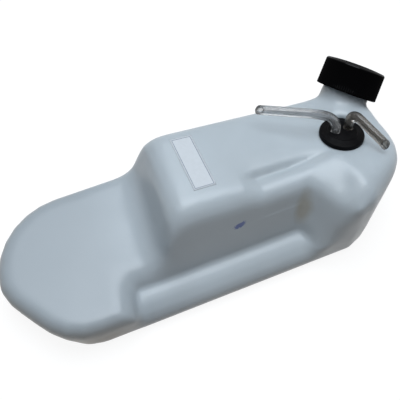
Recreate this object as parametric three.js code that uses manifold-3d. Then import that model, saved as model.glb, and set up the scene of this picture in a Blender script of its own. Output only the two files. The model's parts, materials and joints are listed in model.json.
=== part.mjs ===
// Fuel tank of a small garden engine: a blow-moulded shell with a slanted filler neck, a screw cap,
// a rubber grommet that two clear hoses pass through, and a weighted filter on the hose inside.
// Millimetres, Z up. The origin is the middle of the flat base. The low nose points along -X, the neck
// stands at the +X end, and the long recess is in the wall on the -Y side.

import * as THREE from 'three';
import { mergeVertices } from 'three/addons/utils/BufferGeometryUtils.js';
import Module from 'manifold-3d';

const { clamp, degToRad, lerp, smoothstep } = THREE.MathUtils;
const wasm = await Module();
wasm.setup();

// Tank body, overall
const tankLength = 262;
const tankWidth = 96.5;
const tailFarCorner = 6;
const tailNearCorner = -7;
const noseNearCorner = -7.5;
const noseCornerPower = 0.75;
const noseHeight = 29.5;
const roofHeight = 64;
const wall = 2.5;
const widestHeight = 20;
const wallDraftShare = 0.035;
const baseEdgeRadius = 7;
const baseEdgeInset = 5;
const noseInset = 14;
const noseInsetHeight = 22;
const tailInset = 8;
const tailInsetHeight = 45;
const noseEdgeRadius = 8;
const roofEdgeRadius = 10;
const tailEdgeExtra = 5;
const tailEdgeFromTail = 66;
const tailEdgeFullFromTail = 40;

// Rise from the nose to the roof
const riseFootFromNose = 83.5;
const riseFootRadius = 16;
const riseHeadRadius = 14;
const riseAngle = degToRad(70);
const riseSkewShare = 0.1;

// Roof: it falls towards the tail and the far side, keeps a ridge and a groove along the recess, a valley in
// front of the grommet, and swells into a shoulder under the neck
const roofFallFromNose = 123;
const roofFallEndFromTail = 34;
const roofFallShare = 0.105;
const roofTiltStartShare = 0.04;
const roofTiltEndShare = 0.2;
const ridgeStartFromTail = 121;
const ridgeFullFromTail = 51;
const ridgeFadeFromTail = 7;
const ridgeRise = 5;
const ridgeOuterFromNear = 37.25;
const ridgeInnerFromNear = 45.25;
const grooveFromNear = 44.25;
const grooveHalfWidth = 4;
const grooveDepth = 2.5;
const grooveStartFromTail = 110;
const grooveFullFromTail = 99;
const grooveFadeFromTail = 66;
const grooveEndFromTail = 50;
const valleyFromTail = 36;
const valleyHalfWidth = 6;
const valleyDepth = 2.5;
const shoulderFromTail = 20;
const shoulderFromFar = 19.25;
const shoulderRise = 8;
const shoulderRadius = 24;

// Recess in the near wall, with a sloping ledge below it
const recessFromNose = 72.5;
const recessFromTail = 73.5;
const recessFloorHeight = 20;
const recessLeftLeanShare = 0.3;
const recessRightLeanShare = 0.42;
const recessLeftHalfRun = 4;
const recessRightHalfRun = 5;
const recessRightSpreadShare = 0.22;
const recessEndDepth = 0.8;
const recessEndRun = 36;
const recessEndLeanShare = 0.2;
const ledgeFrontHeight = 7.5;
const ledgeBackHeight = 20;
const ledgeCorner = 0.8;
const ledgeDepth = 18;
const recessWallLeanShare = 0.27;
const ledgeRowMargin = 6;
const ledgeRowFade = 18;

// Filler neck
const neckFromTail = 11.3;
const neckFromFar = 8.25;
const neckBelowRoof = 18;
const neckTilt = degToRad(47);
const neckTurn = degToRad(41);
const neckDiameter = 31.4;
const neckThreadDiameter = 29;
const neckBoreDiameter = 25;
const neckShoulderDrop = 0.8;
const neckBoreDepth = 26;
const neckRootDepth = 22;
const neckFillet = 3.5;
const neckSunk = 0.4;

// Filler cap, with its gasket and vent valve
const capDiameter = 40.8;
const capDraft = 0.3;
const capHeight = 19.2;
const capTop = 3.4;
const capEdgeRadius = 1.6;
const capCrown = 1;
const capRimChamfer = 0.5;
const capThreadPlay = 1.2;
const gasketThickness = 1.2;
const ventStemDiameter = 4;
const ventFlangeDiameter = 8;
const ventFlangeThickness = 1.2;
const ventBoreDiameter = 1.2;
const ventLipLength = 4;
const ventLipWidth = 3.4;
const ventLipThickness = 1;

// Grommet and its seat in the roof
const grommetFromTail = 34.4;
const grommetY = 6;
const grommetSlopeXShare = -0.136;
const grommetSlopeYShare = -0.194;
const grommetDiameter = 28.4;
const grommetRim = 3.2;
const grommetDome = 0.8;
const grommetHubDiameter = 19;
const grommetHubRise = 0.6;
const grommetRimRound = 1;
const grommetHoleDiameter = 20;
const grommetLipDiameter = 23.5;
const grommetLipDepth = 4;
const seatThickness = 2.2;
const seatMargin = 1;

// Hoses
const hoseDiameter = 6;
const hoseBore = 3;
const hoseSpacing = 9.2;
const hoseOffset = 1.2;
const returnTailLength = 9;
const hoseEnterLength = 2;

// Filter on the pick-up hose, lying along the tank floor
const filterDiameter = 14;
const filterLength = 20;
const filterEndThickness = 1.6;
const filterCoreDiameter = 8;
const filterBore = 1.4;
const nippleDiameter = 2.4;
const nippleLength = 8;
const weightLength = 5;
const weightDiameter = 13;
const weightStubDiameter = 4;
const weightStubLength = 3;
const clipThickness = 0.8;
const clipWidth = 3;
const clipMouth = 3;
const clipEarLength = 3.5;
const clipPlace = 5;
const filterFromTail = 85;
const filterY = 17;
const pickupDropLength = 15;
const pickupBend = 17;

// Sticker on the roof
const stickerLength = 40;
const stickerWidth = 14;
const stickerThickness = 0.3;
const stickerFromNose = 131.4;
const stickerY = 17.5;

// Clearances and overrun
const gap = 0.3;
const overrun = 1;

// Free runs of the two hoses outside, after the stretch that leaves the grommet straight
const supplyRoute = [
  new THREE.Vector3(92.9, 10.1, 61.4),
  new THREE.Vector3(92, 12, 63.4),
  new THREE.Vector3(90.2, 13.6, 65),
  new THREE.Vector3(87.6, 15, 66.2),
  new THREE.Vector3(84.6, 16.5, 67),
  new THREE.Vector3(81.2, 18.1, 67.5),
  new THREE.Vector3(77.6, 20, 67.7),
  new THREE.Vector3(73.9, 21.9, 67.7),
  new THREE.Vector3(70.1, 24, 67.6),
  new THREE.Vector3(66.3, 26.1, 67.4),
  new THREE.Vector3(62.5, 28.3, 67.3),
  new THREE.Vector3(58.8, 30.5, 67),
  new THREE.Vector3(55.1, 32.7, 66.7),
  new THREE.Vector3(52.2, 34.4, 66.4),
  new THREE.Vector3(49.6, 36, 66.2),
];
const returnRoute = [
  new THREE.Vector3(102.4, 9.2, 59.8),
  new THREE.Vector3(103.1, 9.9, 61.4),
  new THREE.Vector3(104.1, 10.2, 62.6),
  new THREE.Vector3(105.2, 9.7, 63.5),
  new THREE.Vector3(106.2, 8.3, 64),
  new THREE.Vector3(106.9, 6.2, 64.3),
  new THREE.Vector3(107.5, 3.8, 64.3),
  new THREE.Vector3(108.1, 1.3, 64.2),
  new THREE.Vector3(108.8, -1.3, 64),
  new THREE.Vector3(109.6, -3.9, 63.6),
  new THREE.Vector3(110.5, -6.5, 63.2),
  new THREE.Vector3(111.4, -9.2, 62.8),
  new THREE.Vector3(112.3, -12, 62.3),
  new THREE.Vector3(113.2, -14.8, 61.7),
  new THREE.Vector3(114.1, -17.6, 61.1),
];

// Counts of sides and steps
const capSides = 64;
const neckSides = 32;
const plugSides = 40;
const smallSides = 24;
const hoseSides = 12;
const hoseStep = 4;
const outerStep = 5;
const outerArcSteps = 14;
const innerStep = 9;
const innerArcSteps = 8;
const stationTries = 20;
const edgePasses = 8;
const filletSteps = 5;
const cornerSteps = 3;
const stickerColumns = 3;
const stickerRows = 8;

// Rows of points up each column of the skin
const baseRowShares = [0, 0.6, 1];
const upperRowShares = [0.5, 1];
const topRowShares = [0.76, 0.5, 0.25, 0];
const baseEdgeTurns = [30, 60, 90].map(degToRad);
const topEdgeTurns = [22.5, 45, 67.5, 90].map(degToRad);
const ledgeTurns = [15, 36, 56, 74, 90].map(degToRad);
const noseTurnShare = 0.9;
const filletReachShares = [1, 0.75, 0.5, 0.25, 0];

// Finishes
const shellFinish = { color: 0xe6ebf0, roughness: 0.38, metalness: 0 };
const capFinish = { color: 0x141416, roughness: 0.3, metalness: 0 };
const rubberFinish = { color: 0x1a1a1c, roughness: 0.6, metalness: 0 };
const hoseFinish = { color: 0xb9b4ac, roughness: 0.2, metalness: 0, transparent: true, opacity: 0.6 };
const feltFinish = { color: 0xd9d2c0, roughness: 0.95, metalness: 0 };
const coreFinish = { color: 0xe9e6da, roughness: 0.5, metalness: 0 };
const metalFinish = { color: 0xb7b9bb, roughness: 0.35, metalness: 1 };
const paperFinish = { color: 0xf7f7f5, roughness: 0.6, metalness: 0 };

const upward = new THREE.Vector3(0, 0, 1);

// Places along and across the tank, measured from its ends and sides
const noseEnd = -tankLength / 2;
const tailEnd = tankLength / 2;
const nearWall = -tankWidth / 2;
const farWall = tankWidth / 2;
const riseFootX = noseEnd + riseFootFromNose;
const roofFallX = noseEnd + roofFallFromNose;
const roofFallEndX = tailEnd - roofFallEndFromTail;
const ridgeStartX = tailEnd - ridgeStartFromTail;
const ridgeFullX = tailEnd - ridgeFullFromTail;
const ridgeFadeX = tailEnd - ridgeFadeFromTail;
const ridgeOuterY = nearWall + ridgeOuterFromNear;
const ridgeInnerY = nearWall + ridgeInnerFromNear;
const grooveY = nearWall + grooveFromNear;
const grooveStartX = tailEnd - grooveStartFromTail;
const grooveFullX = tailEnd - grooveFullFromTail;
const grooveFadeX = tailEnd - grooveFadeFromTail;
const grooveEndX = tailEnd - grooveEndFromTail;
const valleyX = tailEnd - valleyFromTail;
const shoulderX = tailEnd - shoulderFromTail;
const shoulderY = farWall - shoulderFromFar;
const recessLeftX = noseEnd + recessFromNose;
const recessRightX = tailEnd - recessFromTail;
const tailEdgeX = tailEnd - tailEdgeFromTail;
const tailEdgeFullX = tailEnd - tailEdgeFullFromTail;
const neckRimPlace = new THREE.Vector2(tailEnd - neckFromTail, farWall - neckFromFar);
const neckRimCentre = new THREE.Vector3(...neckRimPlace, roofHeight - neckBelowRoof);
const grommetPlace = new THREE.Vector2(tailEnd - grommetFromTail, grommetY);
const filterNose = new THREE.Vector2(tailEnd - filterFromTail, filterY);
const stickerCentre = new THREE.Vector2(noseEnd + stickerFromNose, stickerY);

function mesh(name, geometry, finish) {
  const piece = new THREE.Mesh(geometry, new THREE.MeshStandardMaterial(finish));
  piece.name = name;
  return piece;
}

// A closed geometry as a solid that can be joined and cut.
function solidFrom(geometry) {
  const bare = geometry.clone();
  bare.deleteAttribute('normal');
  bare.deleteAttribute('uv');
  const merged = mergeVertices(bare);
  const corners = Array.from(merged.index.array);
  const triangles = [];
  for (let start = 0; start < corners.length; start += 3) {
    const triangle = corners.slice(start, start + 3);
    if (new Set(triangle).size === 3) {
      triangles.push(...triangle);
    }
  }
  return new wasm.Manifold(new wasm.Mesh({
    numProp: 3,
    vertProperties: merged.getAttribute('position').array,
    triVerts: Uint32Array.from(triangles),
  }));
}

function geometryFrom(solid) {
  const result = solid.getMesh();
  const geometry = new THREE.BufferGeometry();
  geometry.setAttribute('position', new THREE.BufferAttribute(result.vertProperties, result.numProp));
  geometry.setIndex(new THREE.BufferAttribute(result.triVerts, 1));
  geometry.computeVertexNormals();
  return geometry;
}

// A profile of [radius, height] pairs turned about the Z axis.
function revolve(profile, sides) {
  const points = profile.map(([radius, height]) => new THREE.Vector2(radius, height));
  return new THREE.LatheGeometry(points, sides).rotateX(Math.PI / 2);
}

function rod(radius, low, high, sides) {
  return revolve([[0, low], [radius, low], [radius, high], [0, high]], sides);
}

// Rings of points, all of one count, skinned into a closed surface between their two ends. Each cell is
// split along its shorter diagonal.
function skinRings(rings) {
  const count = rings[0].length;
  const positions = rings.flat().flatMap((point) => point.toArray());
  const index = [];
  for (let row = 0; row + 1 < rings.length; row += 1) {
    for (let column = 0; column < count; column += 1) {
      const next = (column + 1) % count;
      const a = row * count + column;
      const b = row * count + next;
      const c = (row + 1) * count + next;
      const d = (row + 1) * count + column;
      const rising = rings[row][column].distanceTo(rings[row + 1][next]);
      const falling = rings[row][next].distanceTo(rings[row + 1][column]);
      index.push(...(rising <= falling ? [a, b, c, a, c, d] : [a, b, d, b, c, d]));
    }
  }
  const geometry = new THREE.BufferGeometry();
  geometry.setAttribute('position', new THREE.Float32BufferAttribute(positions, 3));
  geometry.setIndex(index);
  return geometry;
}

// The rise: an arc at its foot, a straight slope and an arc at its head.
function riseAt(run) {
  const rise = roofHeight - noseHeight;
  const footRun = riseFootRadius * Math.sin(riseAngle);
  const footRise = riseFootRadius * (1 - Math.cos(riseAngle));
  const headRun = riseHeadRadius * Math.sin(riseAngle);
  const headRise = riseHeadRadius * (1 - Math.cos(riseAngle));
  const slopeRun = (rise - footRise - headRise) / Math.tan(riseAngle);
  const toHead = footRun + slopeRun + headRun - run;
  if (run <= 0) {
    return 0;
  }
  if (toHead <= 0) {
    return 1;
  }
  if (run < footRun) {
    return (riseFootRadius - Math.sqrt(riseFootRadius ** 2 - run ** 2)) / rise;
  }
  if (toHead < headRun) {
    return 1 - (riseHeadRadius - Math.sqrt(riseHeadRadius ** 2 - toHead ** 2)) / rise;
  }
  return (footRise + (run - footRun) * Math.tan(riseAngle)) / rise;
}

function riseShare(x, y) {
  return riseAt(x - riseFootX - riseSkewShare * y);
}

function topHeight(x, y) {
  const along = clamp((x - roofFallX) / (roofFallEndX - roofFallX), 0, 1);
  const tilt = lerp(roofTiltStartShare, roofTiltEndShare, along);
  const plane = roofHeight - roofFallShare * Math.max(0, x - roofFallX) - tilt * y;
  const nearSide = 1 - smoothstep(y, ridgeOuterY, ridgeInnerY);
  const ridgeShare = smoothstep(x, ridgeStartX, ridgeFullX) * (1 - smoothstep(x, ridgeFullX, ridgeFadeX));
  const valleyShare = Math.exp(-(((x - valleyX) / valleyHalfWidth) ** 2));
  const grooveRun = smoothstep(x, grooveStartX, grooveFullX) * (1 - smoothstep(x, grooveFadeX, grooveEndX));
  const groove = grooveDepth * grooveRun * Math.exp(-(((y - grooveY) / grooveHalfWidth) ** 2));
  const fromShoulder = Math.hypot(x - shoulderX, y - shoulderY);
  const shoulder = shoulderRise * (1 - smoothstep(fromShoulder, 0, shoulderRadius));
  const roof = plane + nearSide * (ridgeRise * ridgeShare - valleyDepth * valleyShare) - groove + shoulder;
  return lerp(noseHeight, roof, riseShare(x, y));
}

// How far the recess has opened at a place along the near wall. Its ends round over at the roof's edge.
function recessShare(x, z, roundOver) {
  const above = Math.max(0, z - recessFloorHeight);
  const left = recessLeftX - recessLeftLeanShare * above - roundOver;
  const right = recessRightX + recessRightLeanShare * above + roundOver;
  const rightHalfRun = recessRightHalfRun + recessRightSpreadShare * above;
  const opened = smoothstep(x, left - recessLeftHalfRun, left + recessLeftHalfRun);
  const closed = smoothstep(x, right - rightHalfRun, right + rightHalfRun);
  return opened * (1 - closed);
}

// The ledge is a quarter of an ellipse, and the wall above it leans in. Both go deeper at the nose end.
function recessDepth(x, z, roundOver) {
  const upLedge = clamp((z - ledgeFrontHeight) / (ledgeBackHeight - ledgeFrontHeight), 0, 1);
  const ledgeShare = 1 - Math.sqrt(1 - upLedge ** 2);
  const endShare = 1 - smoothstep(x, recessLeftX, recessLeftX + recessEndRun);
  const leanShare = recessWallLeanShare + recessEndLeanShare * endShare;
  const lean = leanShare * Math.max(0, z - ledgeBackHeight);
  const ledge = ledgeShare * (ledgeDepth + recessEndDepth * endShare);
  return recessShare(x, z, roundOver) * (ledge + lean);
}

// The plan is a stadium about a spine along X. Each column stands on the spine and looks one way.
const endRadius = tankWidth / 2;
const spineEnd = tankLength / 2 - endRadius;

// Stations along the spine, at even steps of the way that the roof's line and the recess's lines go.
function spineStations(step) {
  const fine = step / stationTries;
  const stations = [-spineEnd];
  const climb = (from, to, line) => Math.abs(line(to) - line(from));
  const lines = [
    (x) => topHeight(x, 0),
    (x) => recessDepth(x, recessFloorHeight, 0),
    (x) => recessDepth(x, roofHeight - roofEdgeRadius, 0) / 2,
  ];
  let travelled = 0;
  for (let x = -spineEnd; x < spineEnd - step / 2; x += fine) {
    travelled += Math.hypot(fine, Math.max(...lines.map((line) => climb(x, x + fine, line))));
    if (travelled >= step) {
      travelled = 0;
      stations.push(x + fine);
    }
  }
  return [...stations, spineEnd];
}

function planColumns(step, arcSteps) {
  const stations = spineStations(step);
  const arc = (x, from) => Array.from({ length: arcSteps - 1 }, (_, i) => ({
    x,
    angle: from + (Math.PI * (i + 1)) / arcSteps,
  }));
  return [
    ...stations.map((x) => ({ x, angle: -Math.PI / 2 })),
    ...arc(spineEnd, -Math.PI / 2),
    ...stations.toReversed().map((x) => ({ x, angle: Math.PI / 2 })),
    ...arc(-spineEnd, Math.PI / 2),
  ];
}

// How far the plan's corners stand out from, or fall short of, its round ends.
function cornerReach(angle) {
  const share = Math.sin(2 * angle) ** 2;
  const near = Math.sin(angle) < 0;
  if (Math.cos(angle) > 0) {
    return share * (near ? Math.sin(angle) ** 2 * tailNearCorner : tailFarCorner);
  }
  return near ? share ** noseCornerPower * Math.cos(angle) ** 2 * noseNearCorner : 0;
}

// How far along the tank a column meets its wall, and whether that is the near wall.
function wallPlace({ x, angle }) {
  return { wallX: x + endRadius * Math.cos(angle), near: Math.sin(angle) < 0 };
}

// Reach of the wall from the spine at a height. Both ends draw in towards the base.
function wallReach(column, z, roundOver = 0) {
  const { angle } = column;
  const { wallX, near } = wallPlace(column);
  const noseShare = smoothstep(-Math.cos(angle), 0, noseTurnShare);
  const noseUnder = noseInset * noseShare * Math.max(0, 1 - z / noseInsetHeight) ** 2;
  const tailUnder = tailInset * Math.max(0, Math.cos(angle)) * Math.max(0, 1 - z / tailInsetHeight);
  const recess = near ? recessDepth(wallX, z, roundOver) : 0;
  const draft = wallDraftShare * Math.abs(z - widestHeight);
  return endRadius + cornerReach(angle) - draft - noseUnder - tailUnder - recess;
}

// How far the rows of a column follow the ledge: fully along the recess, and not at all away from it.
function ledgeBand(x) {
  const left = smoothstep(x, recessLeftX - ledgeRowMargin - ledgeRowFade, recessLeftX - ledgeRowMargin);
  const right = smoothstep(x, recessRightX + ledgeRowMargin, recessRightX + ledgeRowMargin + ledgeRowFade);
  return left * (1 - right);
}

function columnPoints(column) {
  const { x, angle } = column;
  const place = (reach) => [x + reach * Math.cos(angle), reach * Math.sin(angle)];
  const point = (reach, z) => new THREE.Vector3(...place(reach), z);
  const { wallX, near } = wallPlace(column);
  const ledgeRowShare = near ? ledgeBand(wallX) : 0;
  const tailShare = near ? smoothstep(wallX, tailEdgeX, tailEdgeFullX) * Math.sin(angle) ** 2 : 0;

  let wallTop = noseHeight;
  let topReach = endRadius;
  let edge = noseEdgeRadius;
  for (let pass = 0; pass < edgePasses; pass += 1) {
    edge = lerp(noseEdgeRadius, roofEdgeRadius, riseShare(...place(topReach))) + tailEdgeExtra * tailShare;
    wallTop = topHeight(...place(topReach)) - edge;
    topReach = wallReach(column, wallTop + edge, edge) - edge;
  }

  const baseReach = wallReach(column, baseEdgeRadius) - baseEdgeInset;
  const points = baseRowShares.map((share) => point(share * baseReach, 0));
  for (const turn of baseEdgeTurns) {
    const out = baseEdgeInset * Math.sin(turn);
    points.push(point(baseReach + out, baseEdgeRadius * (1 - Math.cos(turn))));
  }

  const ledgeRise = ledgeBackHeight - ledgeFrontHeight;
  const ledgeHeights = ledgeTurns.map((turn) => ledgeFrontHeight + ledgeRise * Math.sin(turn));
  ledgeHeights.push(ledgeBackHeight + ledgeCorner);
  const upperHeights = upperRowShares.map((share) => lerp(ledgeHeights.at(-1), wallTop, share));
  [...ledgeHeights, ...upperHeights].forEach((height, i, all) => {
    const even = lerp(baseEdgeRadius, wallTop, (i + 1) / all.length);
    const z = lerp(even, height, ledgeRowShare);
    points.push(point(wallReach(column, z), z));
  });

  for (const turn of topEdgeTurns) {
    const roundOver = edge * (1 - Math.cos(turn));
    const z = wallTop + edge * Math.sin(turn);
    points.push(point(wallReach(column, z, roundOver) - roundOver, z));
  }
  for (const share of topRowShares) {
    const reach = share * topReach;
    points.push(point(reach, topHeight(...place(reach))));
  }
  return points;
}

// The whole skin, or the same skin drawn in by a wall's thickness.
function tankSkin(step, arcSteps, drawnIn) {
  const columns = planColumns(step, arcSteps).map(columnPoints);
  const rings = columns[0].map((_, row) => columns.map((points) => points[row]));
  const skin = mergeVertices(skinRings(rings));
  if (drawnIn > 0) {
    skin.computeVertexNormals();
    const place = skin.getAttribute('position');
    const normal = skin.getAttribute('normal');
    const inward = new THREE.Vector3();
    for (let i = 0; i < place.count; i += 1) {
      inward.fromBufferAttribute(normal, i).multiplyScalar(-drawnIn);
      place.setXYZ(i, place.getX(i) + inward.x, place.getY(i) + inward.y, place.getZ(i) + inward.z);
    }
  }
  return skin;
}

// A frame that carries pieces along an axis that isn't upright.
function frameAt(place, axis) {
  const frame = new THREE.Group();
  frame.position.copy(place);
  frame.quaternion.setFromUnitVectors(upward, axis);
  frame.updateMatrixWorld();
  return frame;
}

function placedSolid(geometry, frame) {
  return solidFrom(geometry.clone().applyMatrix4(frame.matrixWorld));
}

const neckThreadLength = capHeight - capTop - gasketThickness - 2 * gap;
const neckAxis = new THREE.Vector3(
  Math.sin(neckTilt) * Math.cos(neckTurn),
  Math.sin(neckTilt) * Math.sin(neckTurn),
  Math.cos(neckTilt),
);
const neckFrame = frameAt(neckRimCentre, neckAxis);

const grommetAxis = new THREE.Vector3(-grommetSlopeXShare, -grommetSlopeYShare, 1).normalize();
const grommetCentre = new THREE.Vector3(...grommetPlace, topHeight(...grommetPlace));
const grommetFrame = frameAt(grommetCentre, grommetAxis);
const grommetHubTop = gap + grommetRim + grommetDome + grommetHubRise;
const grommetLipTop = -seatThickness - gap;
const grommetLow = grommetLipTop - grommetLipDepth;
const supplyPlace = [-hoseSpacing / 2, hoseOffset];
const returnPlace = [hoseSpacing / 2, hoseOffset];

// The neck outside its bore: thread band, shoulder, barrel, and a fillet that runs out on the skin,
// as far as the wall under it reaches.
function neckOutside(skin, sides) {
  const target = new THREE.Mesh(skin, new THREE.MeshBasicMaterial({ side: THREE.DoubleSide }));
  const ray = new THREE.Raycaster();
  const inwards = neckAxis.clone().negate();
  const barrel = neckDiameter / 2;
  const thread = neckThreadDiameter / 2;
  const meridians = Array.from({ length: sides }, (_, i) => {
    const around = (2 * Math.PI * i) / sides;
    const local = (radius, height) => new THREE.Vector3(
      radius * Math.cos(around),
      radius * Math.sin(around),
      height,
    ).applyMatrix4(neckFrame.matrixWorld);
    const footAt = (radius) => {
      ray.set(local(radius, neckThreadLength), inwards);
      return ray.intersectObject(target)[0]?.point;
    };
    const foot = footAt(barrel);
    const runOut = filletReachShares.map((share) => footAt(barrel + share * neckFillet)).find(Boolean);
    const start = foot.clone().addScaledVector(neckAxis, neckFillet);
    const fillet = new THREE.QuadraticBezierCurve3(start, foot, runOut).getPoints(filletSteps);
    return [
      local(0, neckThreadLength),
      local(thread, neckThreadLength),
      local(thread, -neckShoulderDrop),
      local(barrel, -neckShoulderDrop),
      ...fillet,
      runOut.clone().addScaledVector(neckAxis, -neckSunk),
      local(0, -neckRootDepth),
    ];
  });
  const rings = meridians[0].map((_, row) => meridians.map((points) => points[row]));
  return skinRings(rings.reverse());
}

// The body: the skin and the neck, hollowed, with a flat seat for the grommet.
function tankBody() {
  const outerSkin = tankSkin(outerStep, outerArcSteps, 0);
  const innerSkin = tankSkin(innerStep, innerArcSteps, wall);
  const seatRadius = grommetDiameter / 2 + seatMargin;
  const seat = rod(seatRadius, -seatThickness, 0, plugSides);
  const overSeat = rod(seatRadius, 0, roofHeight, plugSides);
  const underSeat = rod(grommetLipDiameter / 2 + seatMargin, grommetLow, -seatThickness, plugSides);
  const grommetHole = rod(grommetHoleDiameter / 2, -roofEdgeRadius, roofEdgeRadius, plugSides);
  const bore = rod(neckBoreDiameter / 2, -neckBoreDepth, neckThreadLength + overrun, neckSides);
  const solid = solidFrom(outerSkin)
    .add(solidFrom(neckOutside(outerSkin, neckSides)))
    .subtract(solidFrom(innerSkin))
    .subtract(placedSolid(overSeat, grommetFrame))
    .subtract(placedSolid(underSeat, grommetFrame))
    .add(placedSolid(seat, grommetFrame))
    .subtract(placedSolid(grommetHole, grommetFrame))
    .subtract(placedSolid(bore, neckFrame));
  return geometryFrom(solid);
}

// A quarter turn of profile points about [radius, height].
function corner(radius, height, size, fromTurn) {
  return Array.from({ length: cornerSteps + 1 }, (_, part) => {
    const turn = fromTurn + (Math.PI / 2) * (part / cornerSteps);
    return [radius + size * Math.cos(turn), height + size * Math.sin(turn)];
  });
}

// The cap, with its mouth at height zero and a vent hole through its top.
function capProfile() {
  const outer = capDiameter / 2;
  const bore = neckThreadDiameter / 2 + capThreadPlay;
  const vent = ventStemDiameter / 2 + gap;
  return [
    [bore, 0],
    [outer - capRimChamfer, 0],
    [outer, capRimChamfer],
    ...corner(outer - capDraft - capEdgeRadius, capHeight - capCrown - capEdgeRadius, capEdgeRadius, 0),
    [capDiameter / 4, capHeight - capCrown / 4],
    [vent, capHeight],
    [vent, capHeight - capTop],
    [bore, capHeight - capTop],
    [bore, 0],
  ];
}

function gasketProfile() {
  const outer = neckThreadDiameter / 2 + capThreadPlay - gap;
  const inner = neckBoreDiameter / 2;
  const low = neckThreadLength + gap;
  const high = low + gasketThickness;
  return [[inner, low], [outer, low], [outer, high], [inner, high], [inner, low]];
}

// The vent valve: a stem through the cap's top, a flange under it and a flat lip that hangs below.
function ventValve() {
  const stem = ventStemDiameter / 2;
  const flangeTop = capHeight - capTop - gap;
  const flangeLow = flangeTop - ventFlangeThickness;
  const lipLow = flangeLow - ventLipLength;
  const plug = revolve([
    [0, flangeLow],
    [ventFlangeDiameter / 2, flangeLow],
    [ventFlangeDiameter / 2, flangeTop],
    [stem, flangeTop],
    [stem, capHeight],
    [0, capHeight],
  ], smallSides);
  const ellipse = (width, depth, height) => Array.from({ length: smallSides }, (_, i) => {
    const around = (2 * Math.PI * i) / smallSides;
    return new THREE.Vector3((width / 2) * Math.cos(around), (depth / 2) * Math.sin(around), height);
  });
  const lip = skinRings([
    ellipse(0, 0, lipLow),
    ellipse(ventLipWidth, ventLipThickness, lipLow),
    ellipse(ventStemDiameter, ventStemDiameter, flangeLow),
    ellipse(ventStemDiameter, ventStemDiameter, flangeTop),
    ellipse(0, 0, flangeTop),
  ]);
  const bore = rod(ventBoreDiameter / 2, flangeLow, capHeight + overrun, smallSides);
  return geometryFrom(solidFrom(plug).add(solidFrom(lip)).subtract(solidFrom(bore)));
}

// The grommet: a domed disc on the roof, a waist in the hole, a lip under the roof and two hose holes.
function grommet() {
  const outer = grommetDiameter / 2;
  const hub = grommetHubDiameter / 2;
  const waist = grommetHoleDiameter / 2 - gap;
  const lip = grommetLipDiameter / 2;
  const rimTop = gap + grommetRim;
  const body = revolve([
    [0, grommetLow],
    [waist, grommetLow],
    [lip, grommetLow + grommetLipDepth / 2],
    [lip, grommetLipTop],
    [waist, grommetLipTop],
    [waist, gap],
    [outer, gap],
    [outer, rimTop - grommetRimRound],
    [outer - grommetRimRound, rimTop],
    [hub, rimTop + grommetDome],
    [hub - grommetHubRise, grommetHubTop],
    [0, grommetHubTop],
  ], plugSides);
  const hole = rod(hoseDiameter / 2 + gap, grommetLow - overrun, grommetHubTop + overrun, smallSides);
  const supplyHole = solidFrom(hole.clone().translate(...supplyPlace, 0));
  const returnHole = solidFrom(hole.clone().translate(...returnPlace, 0));
  return geometryFrom(solidFrom(body).subtract(supplyHole).subtract(returnHole));
}

// A hose of round section swept along a curve.
function hose(curve) {
  const ring = (radius) => Array.from({ length: hoseSides }, (_, i) => {
    const around = (2 * Math.PI * i) / hoseSides;
    return new THREE.Vector2(radius * Math.cos(around), radius * Math.sin(around));
  });
  const section = new THREE.Shape(ring(hoseDiameter / 2));
  section.holes.push(new THREE.Path(ring(hoseBore / 2).reverse()));
  const steps = Math.ceil(curve.getLength() / hoseStep);
  return new THREE.ExtrudeGeometry(section, { steps, bevelEnabled: false, extrudePath: curve });
}

function onGrommet(place, height) {
  return new THREE.Vector3(...place, height).applyMatrix4(grommetFrame.matrixWorld);
}

// A free hose: straight out of the grommet, a gap above the piece in its hole, then along its route.
function freeHose(place, route) {
  const start = onGrommet(place, grommetHubTop + gap);
  const enter = onGrommet(place, grommetHubTop + gap + hoseEnterLength);
  return hose(new THREE.CatmullRomCurve3([start, enter, ...route], false, 'centripetal'));
}

// The filter lies on the tank's floor. Its own axis runs from its nose to the hose.
const filterHeight = wall + gap + filterDiameter / 2;
const pickupTop = onGrommet(supplyPlace, grommetHubTop);
const pickupTurn = onGrommet(supplyPlace, grommetHubTop - pickupDropLength);
const nosePoint = new THREE.Vector3(...filterNose, filterHeight);
const filterAxis = pickupTurn.clone().sub(nosePoint).setZ(0).normalize();
const filterFrame = frameAt(nosePoint, filterAxis);
const feltLow = weightLength + gap;
const feltHigh = feltLow + filterLength;
const flangeLow = feltHigh + gap;
const flangeHigh = flangeLow + filterEndThickness;
const hoseEnd = flangeHigh + gap;
const nippleEnd = flangeHigh + nippleLength;

function pickupHose() {
  const end = nosePoint.clone().addScaledVector(filterAxis, hoseEnd);
  const onNipple = nosePoint.clone().addScaledVector(filterAxis, nippleEnd);
  const run = new THREE.CurvePath();
  run.add(new THREE.LineCurve3(pickupTop, pickupTurn));
  run.add(new THREE.CubicBezierCurve3(
    pickupTurn,
    pickupTurn.clone().addScaledVector(grommetAxis, -pickupBend),
    onNipple.clone().addScaledVector(filterAxis, pickupBend),
    onNipple,
  ));
  run.add(new THREE.LineCurve3(onNipple, end));
  return hose(run);
}

function returnTail() {
  const top = onGrommet(returnPlace, grommetHubTop);
  const low = onGrommet(returnPlace, grommetLow - returnTailLength);
  return hose(new THREE.LineCurve3(top, low));
}

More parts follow.
